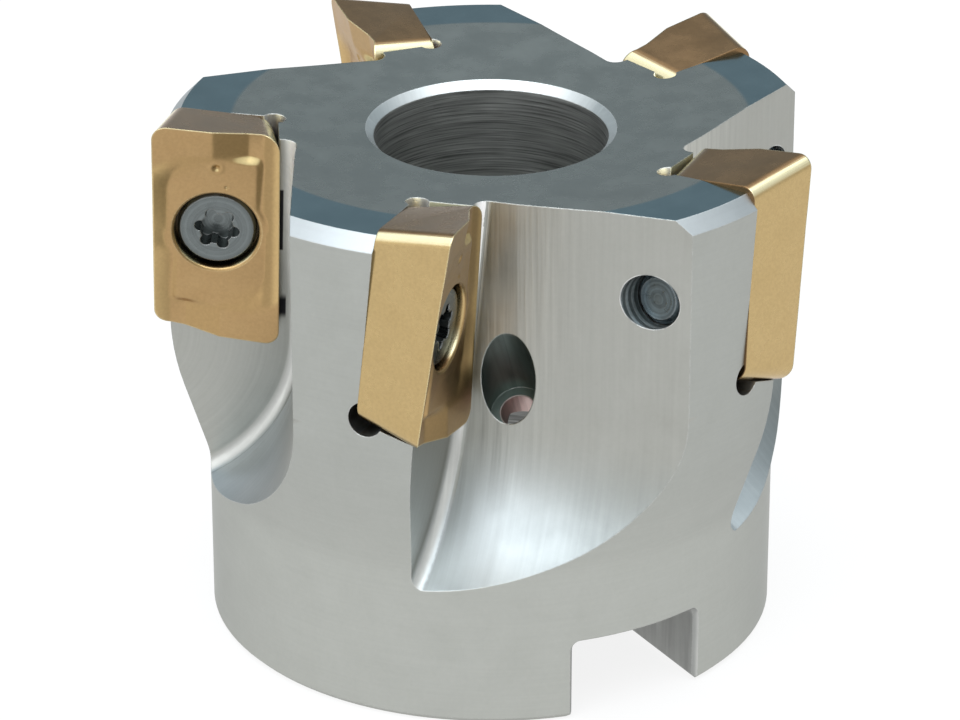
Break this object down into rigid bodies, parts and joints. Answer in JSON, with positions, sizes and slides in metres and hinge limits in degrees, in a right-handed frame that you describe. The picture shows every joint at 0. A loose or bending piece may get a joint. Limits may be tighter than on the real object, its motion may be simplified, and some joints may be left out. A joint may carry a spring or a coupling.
{
  "type": "indexable shoulder mill",
  "caption": "Shell-type indexable shoulder mill: cylindrical steel body with deep chip gullets, upright coated inserts held by clamp screws, arbor bore and rear drive slots.",
  "frame": {"origin": "on the spindle axis at the back mounting face, where the two drive slots cross it", "axes": "+Z along the spindle axis from the mounting face to the cutting end; the two drive slots lie along Y; +X is square to them. The cutter turns counter-clockwise seen from the cutting end, which is right-hand cutting."},
  "size_m": [0.0481, 0.0487, 0.04],
  "materials": {
    "cutter_steel": "satin",
    "coated_carbide": "satin, thin gold-coloured coating on sintered carbide",
    "screw_steel": "dark oiled steel"
  },
  "bodies": {
    "root": {"cutter_body": "cutter_steel", "insert_1": "coated_carbide", "insert_2": "coated_carbide", "insert_3": "coated_carbide", "insert_4": "coated_carbide", "insert_5": "coated_carbide", "clamp_screw_1": "screw_steel", "clamp_screw_2": "screw_steel", "clamp_screw_3": "screw_steel", "clamp_screw_4": "screw_steel", "clamp_screw_5": "screw_steel"}
  },
  "joints": []
}
